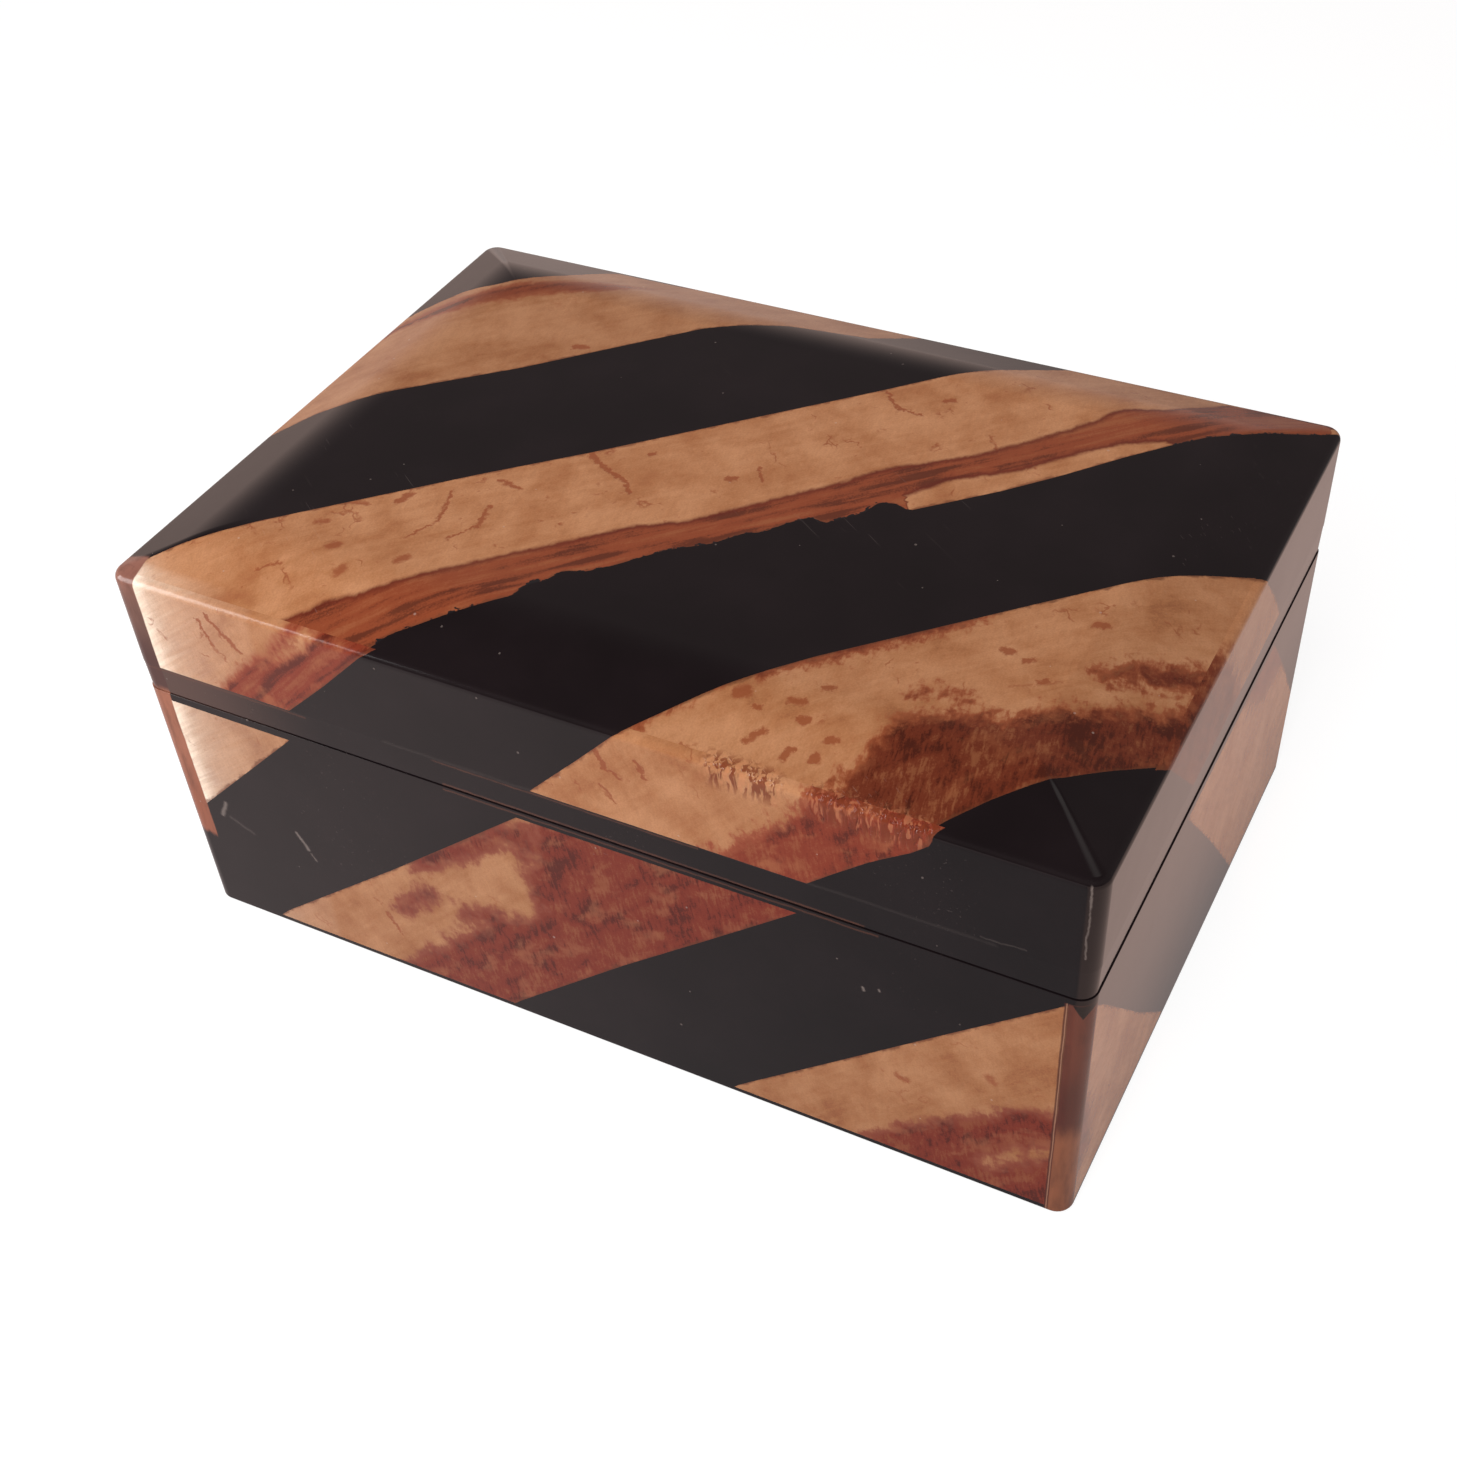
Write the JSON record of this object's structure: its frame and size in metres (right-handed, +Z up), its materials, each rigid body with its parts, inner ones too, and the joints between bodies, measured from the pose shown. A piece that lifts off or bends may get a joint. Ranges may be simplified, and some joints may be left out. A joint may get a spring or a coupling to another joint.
{
  "type": "keepsake box",
  "caption": "Rectangular keepsake box with a hinged pillow-topped lid, black lacquer inlaid with diagonal horn-coloured veneer strips.",
  "frame": {"origin": "middle of the underside, on the surface that the box stands on", "axes": "+X along the box's length to the right, -Y out of its front, +Z up"},
  "size_m": [0.15, 0.103, 0.0716],
  "materials": {
    "black_lacquer": "deep gloss black lacquer with fine scratches",
    "horn_veneer": "tan, horn-like veneer with red-brown mottling under clear gloss lacquer",
    "timber": "plain wood board, black at the open rims",
    "brass": "satin brass",
    "velvet": "short-pile dark red velvet",
    "felt": "thin black felt"
  },
  "bodies": {
    "base": {"base_front_board": "timber", "base_back_board": "timber", "base_left_board": "timber", "base_right_board": "timber", "base_floor": "timber", "base_lacquer": "black_lacquer", "base_front_veneer": "horn_veneer", "base_back_veneer": "horn_veneer", "base_left_veneer": "horn_veneer", "base_right_veneer": "horn_veneer", "base_felt": "felt", "base_floor_lining": "velvet", "base_wall_lining": "velvet", "left_hinge_base_leaf": "brass", "right_hinge_base_leaf": "brass", "left_hinge_pin": "brass", "right_hinge_pin": "brass", "base_hinge_screws": "brass"},
    "lid": {"lid_front_rail": "timber", "lid_back_rail": "timber", "lid_left_rail": "timber", "lid_right_rail": "timber", "lid_top_panel": "timber", "lid_band": "black_lacquer", "lid_lacquer": "black_lacquer", "lid_rear_strip": "horn_veneer", "lid_middle_strip": "horn_veneer", "lid_front_strip": "horn_veneer", "lid_front_veneer": "horn_veneer", "lid_back_veneer": "horn_veneer", "lid_left_veneer": "horn_veneer", "lid_right_veneer": "horn_veneer", "lid_top_lining": "velvet", "lid_wall_lining": "velvet", "left_hinge_lid_leaf": "brass", "right_hinge_lid_leaf": "brass", "lid_hinge_screws": "brass"}
  },
  "joints": [
    {"name": "lid_hinge", "type": "hinge", "parent": "base", "child": "lid", "pos_m": [0, 0.05, 0.0468], "axis": [-1, 0, 0], "range_deg": [0, 100]}
  ]
}
